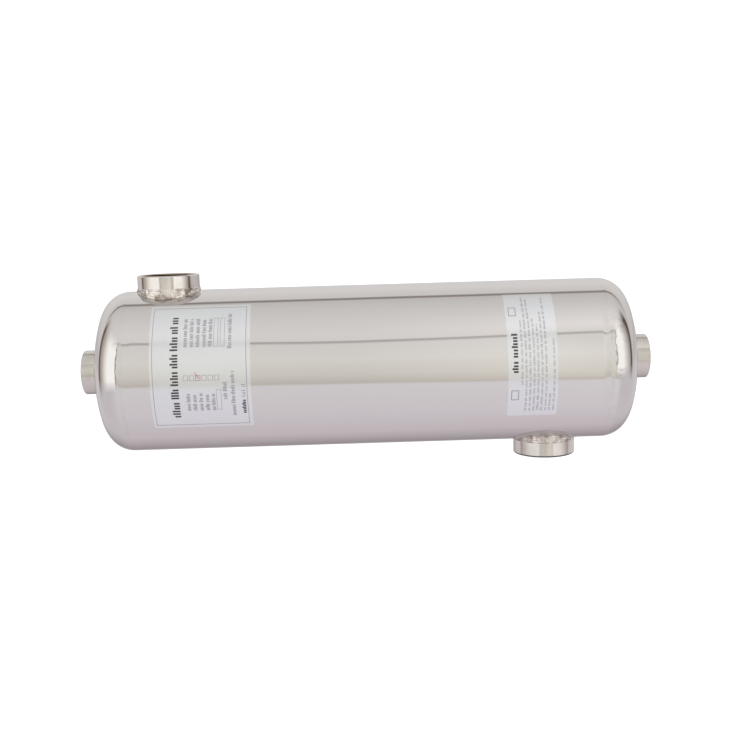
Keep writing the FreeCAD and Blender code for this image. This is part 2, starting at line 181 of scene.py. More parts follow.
def mirror_steel():
    """Stainless sheet, buffed to a mirror: clear reflections, a little wavy as rolled
    sheet is, with a faint haze, and pulled out of true close to the girth welds."""
    material, tree, shader = new_material("mirror-polished stainless", Metallic=1,
                                          Base_Color=linear("#C4C2C1"))
    place = add_node(tree, "ShaderNodeTexCoord").outputs["Object"]
    haze = add_node(tree, "ShaderNodeTexNoise",
                    {"Vector": place, "Scale": 1 / (45 * MM), "Detail": 4})
    rough = add_node(tree, "ShaderNodeMapRange",
                     {"Value": haze.outputs["Fac"], "To Min": 0.03, "To Max": 0.065})
    tree.links.new(rough.outputs["Result"], shader.inputs["Roughness"])
    wave = add_node(tree, "ShaderNodeTexNoise", {"Vector": place, "Scale": 1 / (70 * MM), "Detail": 1})
    roll = add_node(tree, "ShaderNodeBump",
                    {"Height": wave.outputs["Fac"], "Strength": 0.25, "Distance": 0.6 * MM})
    pucker = add_node(tree, "ShaderNodeTexNoise",
                      {"Vector": place, "Scale": 1 / PUCKER_WIDTH, "Detail": 2})
    split = add_node(tree, "ShaderNodeSeparateXYZ", {"Vector": place})
    along = split.outputs["X"]
    near = []
    for seam, (pull, shift) in zip(SEAM_PLACES, SEAM_PULLS):
        offset = add_node(tree, "ShaderNodeMath", {0: along, 1: seam + shift}, operation="SUBTRACT")
        away = add_node(tree, "ShaderNodeMath", {0: offset.outputs[0]}, operation="ABSOLUTE")
        near.append(add_node(tree, "ShaderNodeMapRange",
                             {"Value": away.outputs[0], "From Min": 0, "From Max": PUCKER_REACH,
                              "To Min": pull, "To Max": 0}, interpolation_type="SMOOTHSTEP"))
    both = add_node(tree, "ShaderNodeMath",
                    {0: near[0].outputs["Result"], 1: near[1].outputs["Result"]}, operation="ADD")
    below = add_node(tree, "ShaderNodeMapRange",
                     {"Value": split.outputs["Z"], "From Min": PUCKER_FADE[0],
                      "From Max": PUCKER_FADE[1], "To Min": 1, "To Max": 0})
    left_in = add_node(tree, "ShaderNodeMath", {0: both.outputs[0], 1: below.outputs["Result"]},
                       operation="MULTIPLY")
    drawn = add_node(tree, "ShaderNodeMath", {0: pucker.outputs["Fac"], 1: left_in.outputs[0]},
                     operation="MULTIPLY")
    bump = add_node(tree, "ShaderNodeBump", {"Height": drawn.outputs[0], "Strength": 1,
                                             "Distance": PUCKER_DEPTH,
                                             "Normal": roll.outputs["Normal"]})
    tree.links.new(bump.outputs["Normal"], shader.inputs["Normal"])
    return material


def polished_weld():
    """Girth weld ground flush and buffed: as bright as the sheet beside it, but with the
    bead's ripple still felt under the polish and a slightly greyer, softer shine."""
    material, tree, shader = new_material("polished stainless weld", Metallic=1)
    place = add_node(tree, "ShaderNodeTexCoord").outputs["Object"]
    grain = add_node(tree, "ShaderNodeTexNoise", {"Vector": place, "Scale": 1 / (5 * MM), "Detail": 3})
    tone = add_node(tree, "ShaderNodeValToRGB", {"Fac": grain.outputs["Fac"]})
    set_stops(tone, [(0, linear("#BCBAB8")), (0.5, linear("#C3C1C0")), (1, linear("#C8C6C5"))])
    tree.links.new(tone.outputs["Color"], shader.inputs["Base Color"])
    rough = add_node(tree, "ShaderNodeMapRange",
                     {"Value": grain.outputs["Fac"], "To Min": 0.05, "To Max": 0.1})
    tree.links.new(rough.outputs["Result"], shader.inputs["Roughness"])
    bump = add_node(tree, "ShaderNodeBump",
                    {"Height": grain.outputs["Fac"], "Strength": 0.5, "Distance": 0.12 * MM})
    tree.links.new(bump.outputs["Normal"], shader.inputs["Normal"])
    return material


def turned_steel(name, direction, tones, thread_reach):
    """Stainless turned in a lathe: bright, with fine rings round its axis. Real tool marks
    are 0.1 mm apart, and are drawn seven times as far apart so that they show at all.
    Golden brown is painted into the threads as a painted reflection, and a thin dark line
    of painted shade into the chamfer of the rim that the part stands on."""
    material, tree, shader = new_material(name, Metallic=1)
    place = add_node(tree, "ShaderNodeTexCoord").outputs["Object"]
    rings = add_node(tree, "ShaderNodeTexWave", {"Vector": place, "Scale": WAVE_GAP / RING_GAP,
                                                 "Distortion": 0.4, "Detail": 2},
                     bands_direction=direction)
    patches = add_node(tree, "ShaderNodeTexNoise", {"Vector": place, "Scale": 1 / (9 * MM), "Detail": 3})
    tone = add_node(tree, "ShaderNodeValToRGB", {"Fac": patches.outputs["Fac"]})
    set_stops(tone, [(0, linear(tones[0])), (0.5, linear(tones[1])), (1, linear(tones[2]))])
    split = add_node(tree, "ShaderNodeSeparateXYZ", {"Vector": place})
    rise = split.outputs["Z"]
    # Distance from the axis: of either nozzle when they stand upright, else of the shell.
    first = add_node(tree, "ShaderNodeMath", {0: rise, 1: AXIS_Z}, operation="SUBTRACT").outputs[0]
    if direction == "Z":
        aways = [add_node(tree, "ShaderNodeMath", {0: split.outputs["X"], 1: middle},
                          operation="SUBTRACT").outputs[0] for middle in NOZZLE_PLACES]
        gaps = [add_node(tree, "ShaderNodeMath", {0: away}, operation="ABSOLUTE").outputs[0]
                for away in aways]
        first = add_node(tree, "ShaderNodeMath", {0: gaps[0], 1: gaps[1]}, operation="MINIMUM").outputs[0]
    across = add_node(tree, "ShaderNodeCombineXYZ", {"X": first, "Y": split.outputs["Y"]})
    radius = add_node(tree, "ShaderNodeVectorMath", {0: across.outputs[0]}, operation="LENGTH")
    # Painted reflection: golden brown painted into the threads, fading out past the thread's root.
    within = add_node(tree, "ShaderNodeMapRange",
                      {"Value": radius.outputs["Value"], "From Min": thread_reach,
                       "From Max": thread_reach + OIL_EDGE, "To Min": 0.8, "To Max": 0})
    oiled = add_node(tree, "ShaderNodeMix", {"Factor": within.outputs["Result"],
                     6: tone.outputs["Color"], 7: linear("#86704F")}, data_type="RGBA")
    # Painted shade: a thin dark line low on the rim chamfer of the bottom nozzle.
    oil = add_node(tree, "ShaderNodeMath", {0: rise, 1: OIL_HEIGHT, 2: OIL_HEIGHT}, operation="COMPARE")
    edge = add_node(tree, "ShaderNodeMapRange", {"Value": rise, "From Min": OIL_HEIGHT, "From Max":
                    2 * OIL_HEIGHT, "To Min": 0.97, "To Max": 0}, interpolation_type="SMOOTHSTEP")
    line = add_node(tree, "ShaderNodeMath", {0: oil.outputs[0], 1: edge.outputs["Result"]},
                    operation="MULTIPLY")
    # The near-black colour of the painted shade line is mixed in here.
    stained = add_node(tree, "ShaderNodeMix", {"Factor": line.outputs[0], 6: oiled.outputs[2],
                       7: linear("#231F1E")}, data_type="RGBA")
    tree.links.new(stained.outputs[2], shader.inputs["Base Color"])
    rough = add_node(tree, "ShaderNodeMapRange",
                     {"Value": patches.outputs["Fac"], "To Min": 0.07, "To Max": 0.15})
    tree.links.new(rough.outputs["Result"], shader.inputs["Roughness"])
    bump = add_node(tree, "ShaderNodeBump",
                    {"Height": rings.outputs["Fac"], "Strength": 0.12, "Distance": 0.08 * MM})
    tree.links.new(bump.outputs["Normal"], shader.inputs["Normal"])
    return material


def heat_tinted_weld():
    """Bead as the torch left it: molten-smooth steel whose oxide goes from straw through
    brown to purple-grey in patches, so it looks darker and warmer than the turned steel."""
    material, tree, shader = new_material("heat-tinted stainless weld", Metallic=1)
    place = add_node(tree, "ShaderNodeTexCoord").outputs["Object"]
    oxide = add_node(tree, "ShaderNodeTexNoise",
                     {"Vector": place, "Scale": 1 / (9 * MM), "Detail": 4, "Distortion": 0.6})
    tone = add_node(tree, "ShaderNodeValToRGB", {"Fac": oxide.outputs["Fac"]})
    set_stops(tone, [(0, linear("#6A615F")), (0.36, linear("#897E77")), (0.46, linear("#B1A9A0")),
                     (0.56, linear("#CCC8C3")), (1, linear("#C0BDBA"))])
    tree.links.new(tone.outputs["Color"], shader.inputs["Base Color"])
    scale = add_node(tree, "ShaderNodeTexNoise", {"Vector": place, "Scale": 1 / (1.6 * MM), "Detail": 2})
    rough = add_node(tree, "ShaderNodeMapRange",
                     {"Value": oxide.outputs["Fac"], "To Min": 0.3, "To Max": 0.1})
    tree.links.new(rough.outputs["Result"], shader.inputs["Roughness"])
    bump = add_node(tree, "ShaderNodeBump",
                    {"Height": scale.outputs["Fac"], "Strength": 0.2, "Distance": 0.12 * MM})
    tree.links.new(bump.outputs["Normal"], shader.inputs["Normal"])
    return material


def mill_finish():
    """Plate and bar as the mill delivers it, pickled: grey, dull and faintly mottled."""
    material, tree, shader = new_material("mill-finish stainless", Metallic=1)
    place = add_node(tree, "ShaderNodeTexCoord").outputs["Object"]
    mottle = add_node(tree, "ShaderNodeTexNoise", {"Vector": place, "Scale": 1 / (12 * MM), "Detail": 5})
    tone = add_node(tree, "ShaderNodeValToRGB", {"Fac": mottle.outputs["Fac"]})
    set_stops(tone, [(0, linear("#8F8D8A")), (0.5, linear("#A5A3A0")), (1, linear("#B5B3B0"))])
    tree.links.new(tone.outputs["Color"], shader.inputs["Base Color"])
    grain = add_node(tree, "ShaderNodeTexNoise", {"Vector": place, "Scale": 1 / (0.8 * MM), "Detail": 2})
    rough = add_node(tree, "ShaderNodeMapRange",
                     {"Value": grain.outputs["Fac"], "To Min": 0.36, "To Max": 0.5})
    tree.links.new(rough.outputs["Result"], shader.inputs["Roughness"])
    bump = add_node(tree, "ShaderNodeBump",
                    {"Height": grain.outputs["Fac"], "Strength": 0.2, "Distance": 0.05 * MM})
    tree.links.new(bump.outputs["Normal"], shader.inputs["Normal"])
    return material


def drawn_tube():
    """Tube drawn through a die: satin, with long fine streaks that run along it."""
    material, tree, shader = new_material("drawn stainless tube", Metallic=1)
    place = add_node(tree, "ShaderNodeTexCoord").outputs["Object"]
    stretch = add_node(tree, "ShaderNodeMapping", {"Vector": place, "Scale": (0.02, 1, 1)})
    streak = add_node(tree, "ShaderNodeTexNoise",
                      {"Vector": stretch.outputs["Vector"], "Scale": 1 / (0.9 * MM), "Detail": 3})
    tone = add_node(tree, "ShaderNodeValToRGB", {"Fac": streak.outputs["Fac"]})
    set_stops(tone, [(0, linear("#A19E99")), (0.5, linear("#B6B3AE")), (1, linear("#C4C1BD"))])
    tree.links.new(tone.outputs["Color"], shader.inputs["Base Color"])
    rough = add_node(tree, "ShaderNodeMapRange",
                     {"Value": streak.outputs["Fac"], "To Min": 0.22, "To Max": 0.34})
    tree.links.new(rough.outputs["Result"], shader.inputs["Roughness"])
    bump = add_node(tree, "ShaderNodeBump",
                    {"Height": streak.outputs["Fac"], "Strength": 0.15, "Distance": 0.05 * MM})
    tree.links.new(bump.outputs["Normal"], shader.inputs["Normal"])
    return material


def satin_film():
    """Self-adhesive silvered polyester: a cool pale satin that takes soft reflections from
    what is round it, so it is only a little lighter than the steel it lies on."""
    material, tree, shader = new_material("satin polyester film", Metallic=0.9)
    place = add_node(tree, "ShaderNodeTexCoord").outputs["Object"]
    cloud = add_node(tree, "ShaderNodeTexNoise", {"Vector": place, "Scale": 1 / (30 * MM), "Detail": 3})
    tone = add_node(tree, "ShaderNodeValToRGB", {"Fac": cloud.outputs["Fac"]})
    set_stops(tone, [(0, linear("#CBCDD0")), (1, linear("#D1D3D5"))])
    tree.links.new(tone.outputs["Color"], shader.inputs["Base Color"])
    rough = add_node(tree, "ShaderNodeMapRange",
                     {"Value": cloud.outputs["Fac"], "To Min": 0.19, "To Max": 0.23})
    tree.links.new(rough.outputs["Result"], shader.inputs["Roughness"])
    peel = add_node(tree, "ShaderNodeTexNoise", {"Vector": place, "Scale": 1 / (3 * MM), "Detail": 2})
    bump = add_node(tree, "ShaderNodeBump",
                    {"Height": peel.outputs["Fac"], "Strength": 0.15, "Distance": 0.06 * MM})
    tree.links.new(bump.outputs["Normal"], shader.inputs["Normal"])
    return material


def printed_ink(name, dark, light):
    """Thermal-transfer ink on film: flat colour with small pale voids where it missed."""
    material, tree, shader = new_material(name, Roughness=0.42)
    place = add_node(tree, "ShaderNodeTexCoord").outputs["Object"]
    voids = add_node(tree, "ShaderNodeTexNoise", {"Vector": place, "Scale": 1 / (0.6 * MM), "Detail": 2})
    tone = add_node(tree, "ShaderNodeValToRGB", {"Fac": voids.outputs["Fac"]})
    set_stops(tone, [(0, linear(dark)), (0.55, linear(dark)), (1, linear(light))])
    tree.links.new(tone.outputs["Color"], shader.inputs["Base Color"])
    return material


def matt_floor():
    """Seamless studio floor of painted board: white, matt, with hardly any mottling."""
    material, tree, shader = new_material("matt white floor", Roughness=0.9)
    place = add_node(tree, "ShaderNodeTexCoord").outputs["Object"]
    cloud = add_node(tree, "ShaderNodeTexNoise", {"Vector": place, "Scale": 1.5, "Detail": 3})
    tone = add_node(tree, "ShaderNodeValToRGB", {"Fac": cloud.outputs["Fac"]})
    set_stops(tone, [(0, linear("#EFF1F6")), (1, linear("#F3F5FA"))])
    tree.links.new(tone.outputs["Color"], shader.inputs["Base Color"])
    return material


MIRROR = mirror_steel()
TURNED_UPRIGHT = turned_steel("turned stainless nozzle", "Z", ("#B7B2AD", "#C5C1BD", "#CECBC8"),
                              NOZZLE_BORE / 2 + THREAD_DEPTH)
# The sockets' copy of the turned steel has darker tones than the nozzles': painted shade.
TURNED_LEVEL = turned_steel("turned stainless socket", "X", ("#AEA9A3", "#BCB8B3", "#C5C2BE"),
                            SOCKET_BORE / 2 + THREAD_DEPTH)
TINTED = heat_tinted_weld()
BLACK_INK = printed_ink("black transfer ink", "#2B2A2E", "#5A595E")
GREY_INK = printed_ink("grey transfer ink", "#85848A", "#A3A2A7")
RED_INK = printed_ink("red transfer ink", "#B5525A", "#CF9095")
SLOTS = {
    "mirror_polished_stainless": MIRROR,
    "polished_weld": polished_weld(),
    "machined_stainless": TURNED_UPRIGHT,
    "heat_tinted_weld": TINTED,
    "mill_finish_stainless": mill_finish(),
    "drawn_stainless_tube": drawn_tube(),
    "label_film": satin_film(),
}
for subpart in frame["record"]["subparts"]:
    frame["nodes"][subpart["node"]].data.materials[0] = SLOTS[subpart["material_slot"]]


# Modelling, as by hand.

def add_modifier(piece, kind, **settings):
    """Add a modifier to a piece and apply it."""
    bpy.context.view_layer.objects.active = piece
    modifier = piece.modifiers.new(kind.lower(), kind)
    for name, value in settings.items():
        setattr(modifier, name, value)
    bpy.ops.object.modifier_apply(modifier=modifier.name)


def draw_outline(name, corners):
    """Draw a closed outline, corner after corner, and leave it in edit mode."""
    bpy.ops.object.select_all(action="DESELECT")
    bpy.ops.mesh.primitive_plane_add(size=MM)
    outline = bpy.context.object
    outline.name = name
    bpy.ops.object.mode_set(mode="EDIT")
    bpy.ops.mesh.select_all(action="SELECT")
    bpy.ops.mesh.merge(type="CENTER")
    bpy.ops.transform.translate(value=corners[0])
    for here, there in zip(corners, corners[1:] + corners[:1]):
        bpy.ops.mesh.extrude_vertices_move(TRANSFORM_OT_translate={"value": there - here})
    bpy.ops.mesh.select_all(action="SELECT")
    bpy.ops.mesh.remove_doubles(threshold=SAME_CORNER)
    return outline


def close_shape():
    """In edit mode: merge what coincides, cap what is open, and turn the faces outwards."""
    bpy.ops.mesh.select_all(action="SELECT")
    bpy.ops.mesh.remove_doubles(threshold=SAME_CORNER)
    bpy.ops.mesh.fill_holes(sides=0)
    bpy.ops.mesh.select_all(action="SELECT")
    bpy.ops.mesh.normals_make_consistent(inside=False)
    bpy.ops.object.mode_set(mode="OBJECT")


def drop_specks(piece):
    """Delete the specks that remeshing leaves loose: what isn't joined to the highest corner."""
    bpy.ops.object.mode_set(mode="EDIT")
    bpy.ops.mesh.select_all(action="DESELECT")
    bpy.ops.object.mode_set(mode="OBJECT")
    highest = max(piece.data.vertices, key=lambda corner: corner.co.z)
    highest.select = True
    bpy.ops.object.mode_set(mode="EDIT")
    bpy.ops.mesh.select_linked()
    bpy.ops.mesh.select_all(action="INVERT")
    bpy.ops.mesh.delete(type="VERT")
    bpy.ops.object.mode_set(mode="OBJECT")


def finish_piece(piece, material, smooth_angle=30):
    """Leave a piece at the origin, shaded, with its material, riding on the body."""
    bpy.ops.object.select_all(action="DESELECT")
    piece.select_set(True)
    bpy.context.view_layer.objects.active = piece
    bpy.ops.object.transform_apply(location=True, rotation=True, scale=True)
    bpy.ops.object.shade_smooth_by_angle(angle=math.radians(smooth_angle))
    piece.data.materials.clear()
    piece.data.materials.append(material)
    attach(piece, "root")


def threaded_port(name, node, foot, along, out, bore, material):
    """Turn a plain ring with chamfers, then cut a parallel thread right through it. The
    thread comes out right-handed in a port that faces up or right, and left-handed in one
    that faces down or left."""
    low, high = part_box(node)
    length = abs((high - low).dot(along))
    rim = abs((high - low).dot(out)) / 2
    wall = bore / 2

    def at(distance, radius):
        return foot + along * distance + out * radius

    ring = draw_outline(name, [
        at(0, wall), at(length - MOUTH_CHAMFER, wall), at(length, wall + MOUTH_CHAMFER),
        at(length, wall + MOUTH_CHAMFER + EDGE_HOLD), at(length, rim - RIM_CHAMFER - EDGE_HOLD),
        at(length, rim - RIM_CHAMFER), at(length - RIM_CHAMFER, rim),
        at(length - RIM_CHAMFER - EDGE_HOLD, rim), at(EDGE_HOLD, rim), at(0, rim)])
    bpy.ops.mesh.spin(steps=ROUND_STEPS, angle=math.tau, center=foot, axis=along)
    close_shape()
    add_modifier(ring, "BEVEL", width=EDGE_BREAK, segments=2, limit_method="ANGLE")

    # The cutter is one groove's section, a little inside the bore, carried round as a helix.
    turns = math.ceil(length / THREAD_PITCH) + 1
    start = -THREAD_PITCH / 2
    root = wall + THREAD_DEPTH
    inside = wall - CUTTER_INSET
    groove = [out * inside + along * (start - GROOVE_MOUTH * THREAD_PITCH),
              out * root + along * (start - GROOVE_ROOT * THREAD_PITCH),
              out * root + along * (start + GROOVE_ROOT * THREAD_PITCH),
              out * inside + along * (start + GROOVE_MOUTH * THREAD_PITCH)]
    cutter = draw_outline("thread cutter", groove)
    bpy.ops.object.mode_set(mode="OBJECT")
    axis_name = "Z" if abs(along.z) > 0.5 else "X"
    offset = THREAD_PITCH * (1 if along.dot(UP + ALONG) > 0 else -1)
    add_modifier(cutter, "SCREW", axis=axis_name, angle=math.tau, screw_offset=offset,
                 iterations=turns, steps=THREAD_STEPS, render_steps=THREAD_STEPS)
    bpy.ops.object.mode_set(mode="EDIT")
    close_shape()
    cutter.location = foot
    add_modifier(ring, "BOOLEAN", object=cutter, operation="DIFFERENCE", solver="EXACT")
    add_modifier(ring, "WELD", merge_threshold=SLIVER)
    bpy.data.objects.remove(cutter)
    finish_piece(ring, material)
    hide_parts(node)


def lay_bead(name, node, puddles, size):
    """Lay a bead of overlapping puddles round a joint and melt them into one skin."""
    unsteady = random.Random(name)
    bpy.ops.object.select_all(action="DESELECT")
    bead = None
    for place, turn in puddles:
        swell = 1 + unsteady.uniform(-PUDDLE_SWELL, PUDDLE_SWELL)
        bpy.ops.mesh.primitive_ico_sphere_add(subdivisions=2, radius=swell, location=place,
                                              rotation=turn, scale=size)
        if bead is None:
            bead = bpy.context.object
            bead.name = name
            bpy.ops.object.mode_set(mode="EDIT")
    bpy.ops.object.mode_set(mode="OBJECT")
    bpy.ops.object.transform_apply(location=True, rotation=True, scale=True)
    add_modifier(bead, "REMESH", mode="VOXEL", voxel_size=BEAD_VOXEL)
    drop_specks(bead)
    add_modifier(bead, "SMOOTH", factor=0.5, iterations=BEAD_SMOOTHING)
    finish_piece(bead, TINTED, smooth_angle=180)
    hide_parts(node)


def nozzle_bead(name, node, nozzle, side, clear):
    """Weld between a nozzle and the shell, above or below. It ends level all round, clear of
    the shell's highest line, so it is built up in courses where the shell falls away."""
    low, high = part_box(nozzle)
    middle = (low.x + high.x) / 2
    wall = (high.x - low.x) / 2
    count = round(math.tau * wall / PUDDLE_PITCH)
    unsteady = random.Random(nozzle)
    puddles = []
    for turn in (math.tau * k / count for k in range(count)):
        foot = math.sqrt(SHELL_RADIUS ** 2 - (wall * math.sin(turn)) ** 2)
        head = SHELL_RADIUS + clear
        courses = max(2, math.ceil((head - foot) / COURSE_HEIGHT))
        for course in range(courses):
            share = course / (courses - 1)
            height = foot + (head - foot) * share
            lean = FIRST_LEAN + COURSE_LEAN * share
            reach = wall + (lean + unsteady.uniform(-PUDDLE_WANDER, PUDDLE_WANDER)) * MM
            place = Vector((middle + reach * math.cos(turn), reach * math.sin(turn),
                            AXIS_Z + side * height))
            puddles.append((place, (0, 0, turn)))
    lay_bead(name, node, puddles, NOZZLE_PUDDLE)


def socket_bead(name, node, socket, face):
    """Bead in the corner between an end socket and its head."""
    low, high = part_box(socket)
    reach = (high.z - low.z) / 2 + SOCKET_BEAD_OUT
    count = round(math.tau * reach / PUDDLE_PITCH)
    puddles = []
    for turn in (math.tau * k / count for k in range(count)):
        place = Vector((face, reach * math.cos(turn), AXIS_Z + reach * math.sin(turn)))
        puddles.append((place, (turn, 0, 0)))
    lay_bead(name, node, puddles, SOCKET_PUDDLE)


def model_ports():
    """The four threaded ports and their welds."""
    low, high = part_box("top_nozzle")
    threaded_port("top_threaded_nozzle", "top_nozzle",
                  Vector(((low.x + high.x) / 2, 0, low.z)), UP, ALONG, NOZZLE_BORE, TURNED_UPRIGHT)
    low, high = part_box("bottom_nozzle")
    threaded_port("bottom_threaded_nozzle", "bottom_nozzle",
                  Vector(((low.x + high.x) / 2, 0, high.z)), -UP, ALONG, NOZZLE_BORE, TURNED_UPRIGHT)
    low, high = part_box("left_end_socket")
    threaded_port("left_threaded_socket", "left_end_socket",
                  Vector((high.x, 0, AXIS_Z)), -ALONG, UP, SOCKET_BORE, TURNED_LEVEL)
    low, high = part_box("right_end_socket")
    threaded_port("right_threaded_socket", "right_end_socket",
                  Vector((low.x, 0, AXIS_Z)), ALONG, UP, SOCKET_BORE, TURNED_LEVEL)
    nozzle_bead("top_nozzle_bead", "top_nozzle_weld", "top_nozzle", 1, TOP_BEAD_CLEAR)
    nozzle_bead("bottom_nozzle_bead", "bottom_nozzle_weld", "bottom_nozzle", -1, BOTTOM_BEAD_CLEAR)
    low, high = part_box("left_socket_weld")
    socket_bead("left_socket_bead", "left_socket_weld", "left_end_socket",
                high.x - SOCKET_BEAD_INSET)
    low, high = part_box("right_socket_weld")
    socket_bead("right_socket_bead", "right_socket_weld", "right_end_socket",
                low.x + SOCKET_BEAD_INSET)


# Print on the labels. A mark is (left, right, low, high) in millimetres: left and right from
# the label's left edge, low and high along the shell's round from the label's middle.

# Lettering: the height of a capital, the width of a stem, and the gap to the next one.
TITLE_LETTERS = (6.4, 1.5, 0.95)
HEADING_LETTERS = (5, 1.6, 1)
BOLD_LETTERS = (3.4, 1.1, 0.5)
VALUE_LETTERS = (3.4, 0.85, 0.5)
THIN_LETTERS = (3.2, 0.7, 0.9)
SMALL_LETTERS = (1.9, 0.5, 0.6)
LETTER_SHARES = (0.7, 0.72, 0.75, 1)    # small letters, and one in four a capital
WORD_STEMS = (3, 4, 5, 6, 8)
WORD_GAP = 2.2                          # in gaps between stems
BOX_LINE = 0.35
BEND_STEP = 3                           # a mark is cut at least this often, to bend

# On the rating label: the feet of the rows of values, and boxes for more of them.
VALUE_ROWS = (31, 36.2, 41.4, 46.6, 51.6)
VALUE_BOXES = ((52.9, 56.6, 14.8, 41.7), (58.3, 62, 14.8, 41.7), (54, 58.1, -38.8, -20.8))
# Its row of boxes to tick, and which of them is ticked.
TICK_BOXES = 6
TICK_LEFT = 27.5
TICK_PITCH = 5.1
TICK_WIDTH = 4
TICK_ROW = (-13.1, -8.6)
TICKED = 2
# The tick is a slanting row of short strokes, each beside the last and a little lower.
STROKES = 6
STROKE_WIDTH = 0.55
STROKE_LENGTH = 1.2
STROKE_FALL = 0.8
# On the notice label: where each line of small print starts and ends.
SMALL_LINES = [(-27, 29), (-52, 54), (-52, 52), (-52, 29), (-51, 25), (-52, 36), (-52, 54),
               (-52, -34), (-52, 11)]
FIRST_LINE = 12.4
LINE_PITCH = 3.3


def greeked(rng, letters, foot, start, end):
    """A line of text greeked into stems. It reads upwards, so it climbs from start to end."""
    letter_height, stem, gap = letters
    marks = []
    climb = start
    while climb < end:
        for _ in range(rng.choice(WORD_STEMS)):
            if climb + stem > end:
                break
            tall = rng.choice(LETTER_SHARES)
            marks.append((foot - letter_height * tall, foot, climb, climb + stem))
            climb += stem + gap * rng.uniform(0.7, 1.3)
        climb += WORD_GAP * gap
    return marks


def box_outline(left, right, low, high, line):
    """The four sides of a printed box."""
    return [(left, left + line, low, high), (right - line, right, low, high),
            (left + line, right - line, low, low + line),
            (left + line, right - line, high - line, high)]


def print_marks(name, label, turn, marks, ink):
    """Lay marks flat, wrap them round the shell, give the ink its build, and place them."""
    left_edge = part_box(label)[0].x
    # An empty sheet, for the marks to be added to.
    bpy.ops.object.select_all(action="DESELECT")
    bpy.ops.mesh.primitive_plane_add(size=MM)
    sheet = bpy.context.object
    sheet.name = name
    bpy.ops.object.mode_set(mode="EDIT")
    bpy.ops.mesh.select_all(action="SELECT")
    bpy.ops.mesh.delete(type="VERT")
    for left, right, foot, head in marks:
        middle = Vector((left_edge + (left + right) / 2 * MM, 0, (foot + head) / 2 * MM))
        width = (right - left) * MM
        steps = max(1, math.ceil((head - foot) / BEND_STEP))
        bpy.ops.mesh.primitive_grid_add(x_subdivisions=1, y_subdivisions=steps, size=width,
                                        location=middle, rotation=(math.pi / 2, 0, 0))
        bpy.ops.transform.resize(value=(1, 1, (head - foot) * MM / width), center_override=middle)
    bpy.ops.object.mode_set(mode="OBJECT")
    heights = [corner.co.z for corner in sheet.data.vertices]
    add_modifier(sheet, "SIMPLE_DEFORM", deform_method="BEND", deform_axis="X",
                 angle=(max(heights) - min(heights)) / FILM_RADIUS)
    add_modifier(sheet, "SOLIDIFY", thickness=INK_BUILD, offset=1)
    sheet.matrix_world = (Matrix.Translation((0, 0, AXIS_Z)) @ Matrix.Rotation(-turn, 4, "X")
                          @ Matrix.Translation((0, -FILM_RADIUS, 0)))
    finish_piece(sheet, ink)
    return sheet


def print_rating_label():
    """Rating label: a border, a bold title up its side, rows of values and boxes to tick."""
    rng = random.Random("rating")
    bold = greeked(rng, TITLE_LETTERS, 23.4, -45.6, 45)
    bold += greeked(rng, BOLD_LETTERS, 78.0, -42.9, -29.3)
    print_marks("rating_label_title", "rating_label", RATING_TURN, bold, BLACK_INK)
    fine = box_outline(2.2, 79.8, -54, 54, line=0.5)
    for foot in VALUE_ROWS:
        fine += greeked(rng, VALUE_LETTERS, foot, 15, 41)
        fine += greeked(rng, VALUE_LETTERS, foot + 1.4, -39.3, -23.6)
    for foot, start, end in ((67.6, 13, 46), (63.0, -29.3, -12.8), (69.4, -44.8, -5.9)):
        fine += greeked(rng, VALUE_LETTERS, foot, start, end)
    fine += greeked(rng, THIN_LETTERS, 78.0, -27.7, -15.8)
    for box in VALUE_BOXES:
        fine += box_outline(*box, BOX_LINE)
    for k in range(TICK_BOXES):
        left = TICK_LEFT + TICK_PITCH * k
        fine += box_outline(left, left + TICK_WIDTH, *TICK_ROW, BOX_LINE)
    print_marks("rating_label_print", "rating_label", RATING_TURN, fine, GREY_INK)
    left = TICK_LEFT + TICK_PITCH * TICKED
    tick = box_outline(left, left + TICK_WIDTH, *TICK_ROW, line=0.4)
    for k in range(STROKES):
        start = left - 0.5 + STROKE_WIDTH * k
        foot = TICK_ROW[1] + 1 - STROKE_FALL * k
        tick.append((start, start + STROKE_WIDTH, foot, foot + STROKE_LENGTH))
    print_marks("rating_label_tick", "rating_label", RATING_TURN, tick, RED_INK)


def print_notice_label():
    """Notice label: a bold heading up its side, between two boxes, and lines of small print."""
    rng = random.Random("notice")
    bold = greeked(rng, HEADING_LETTERS, 8.4, -17, 17)
    print_marks("notice_label_title", "notice_label", NOTICE_TURN, bold, BLACK_INK)
    fine = []
    for k, (start, end) in enumerate(SMALL_LINES):
        fine += greeked(rng, SMALL_LETTERS, FIRST_LINE + LINE_PITCH * k, start, end)
    for low, high in ((32, 41), (-41, -32)):
        fine += box_outline(2.6, 9, low, high, line=0.7)
    print_marks("notice_label_print", "notice_label", NOTICE_TURN, fine, GREY_INK)


model_ports()
print_rating_label()
print_notice_label()


# The studio.

# Long panels round the shell's axis, as (degrees above the level in front, colour): floor,
# front panel, ceiling panel, its dark back edge, and the wall behind.
PANELS = [
    (-180, "#A8A4A4"), (-145, "#8C8588"), (-105, "#C6BEC3"), (-60, "#D1CCD1"), (-20, "#D5D2D4"),
    (-19.2, "#C0BAB3"), (-6, "#D1CEC6"), (15, "#DBD9D4"), (37, "#D7D5D3"), (39.6, "#A9A5A2"),
    (40.6, "#A9A5A2"), (42, "#DAD7D4"), (52, "#DCD9D7"), (73, "#D5D3D2"), (100, "#CAC9C7"),
    (112.5, "#C3BFBC"), (114.5, "#86807C"), (117.5, "#86807C"), (119.5, "#CFCCCA"),
    (141, "#D4D1CF"), (160, "#C5C4C4"), (180, "#A8A4A4"),
]
# How far the front panel's upper edge is lifted, from the left end to the right one.
PANEL_BOW = [(0, 1), (0.2, 0.45), (0.4, 0.08), (0.5, 0), (0.7, 0.1), (0.9, 0.42), (1, 0.55)]
